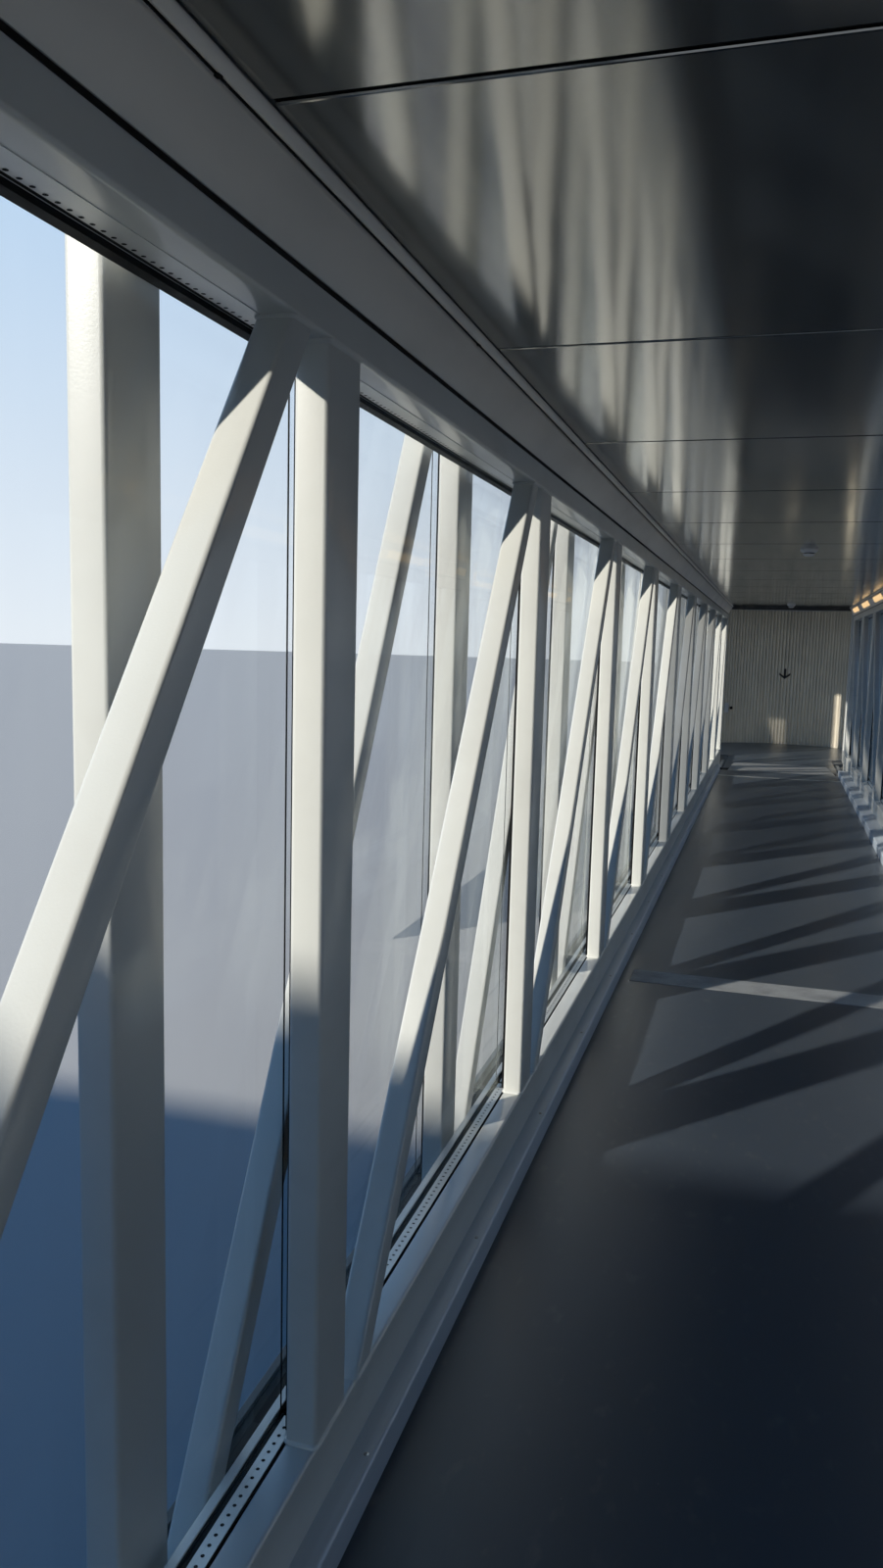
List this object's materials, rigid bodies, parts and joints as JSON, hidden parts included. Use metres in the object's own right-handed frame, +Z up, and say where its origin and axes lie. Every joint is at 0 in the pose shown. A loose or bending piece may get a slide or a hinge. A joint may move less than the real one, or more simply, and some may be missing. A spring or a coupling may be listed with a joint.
{
  "type": "jet bridge tunnel",
  "caption": "Glazed truss tunnel that telescopes inside a larger one, ending in a round swivelling drum with a slat curtain, for boarding passengers.",
  "frame": {"origin": "middle of the whole object's footprint, at the level of the outer bottom chords' underside", "axes": "+Y along the tunnels from the near end to the drum, +X to the right when walking that way, +Z up"},
  "size_m": [3.4598, 24.6879, 2.944],
  "materials": {
    "frame_paint": "satin light grey-cream paint",
    "glass": "clear double glazed units, faint green",
    "cap_strip": "black gasket and cap strips",
    "rubber_sheet": "dark charcoal rubber sheet with a slight sheen",
    "kerb_metal": "satin grey sheet",
    "cove_metal": "mid grey matt sheet",
    "ceiling_metal": "dark glossy sheet metal",
    "lamp_lens": "warm lamp lens",
    "detector_plastic": "white plastic",
    "slat_metal": "grey-beige ribbed slats",
    "roof_metal": "light grey roof sheet",
    "bare_steel": "bare steel",
    "flap_metal": "ribbed tread plate",
    "deck_steel": "dark painted floor steel"
  },
  "bodies": {
    "outer_tunnel": {"outer_bottom_chord_left": "frame_paint", "outer_bottom_chord_right": "frame_paint", "outer_top_chord_left": "frame_paint", "outer_top_chord_right": "frame_paint", "outer_posts_left": "frame_paint", "outer_posts_right": "frame_paint", "outer_diagonals_left": "frame_paint", "outer_diagonals_right": "frame_paint", "outer_glass_left": "glass", "outer_glass_right": "glass", "outer_glass_caps_left": "cap_strip", "outer_glass_caps_right": "cap_strip", "outer_floor_deck": "deck_steel", "outer_floor_sheet": "rubber_sheet", "guide_rails": "bare_steel", "outer_ceiling": "ceiling_metal", "outer_roof": "roof_metal", "outer_near_portal": "frame_paint", "outer_far_portal": "frame_paint", "outer_rollers": "bare_steel", "lift_brackets": "frame_paint", "swivel_tongue": "bare_steel"},
    "inner_tunnel": {"inner_bottom_chord_left": "frame_paint", "inner_bottom_chord_right": "frame_paint", "inner_top_chord_left": "frame_paint", "inner_top_chord_right": "frame_paint", "inner_posts_left": "frame_paint", "inner_posts_right": "frame_paint", "inner_diagonals_left": "frame_paint", "inner_diagonals_right": "frame_paint", "inner_glass_left": "glass", "inner_glass_right": "glass", "inner_glass_caps_left": "cap_strip", "inner_glass_caps_right": "cap_strip", "inner_floor_deck": "deck_steel", "inner_floor_sheet": "rubber_sheet", "kerb_left": "kerb_metal", "kerb_right": "kerb_metal", "cove_left": "cove_metal", "cove_right": "cove_metal", "cove_lamps": "lamp_lens", "ceiling_panels": "ceiling_metal", "inner_roof": "roof_metal", "inner_near_portal": "frame_paint", "inner_far_portal": "frame_paint", "smoke_detectors": "detector_plastic", "inner_rollers": "bare_steel", "flap_hinge": "bare_steel"},
    "flap": {"floor_flap": "flap_metal"},
    "end_drum": {"drum_floor": "rubber_sheet", "drum_roof": "roof_metal", "drum_posts": "frame_paint", "slat_curtain": "slat_metal"}
  },
  "joints": [
    {"name": "telescope", "type": "slide", "parent": "outer_tunnel", "child": "inner_tunnel", "axis": [0, -1, 0], "range_m": [-0.95, 12]},
    {"name": "flap_pivot", "type": "hinge", "parent": "inner_tunnel", "child": "flap", "pos_m": [0, 5.178, 0.2065], "axis": [1, 0, 0], "range_deg": [0, 8]},
    {"name": "drum_swivel", "type": "hinge", "parent": "outer_tunnel", "child": "end_drum", "pos_m": [0, 10.614, 0.02], "axis": [0, 0, 1], "range_deg": [-30, 30]}
  ]
}
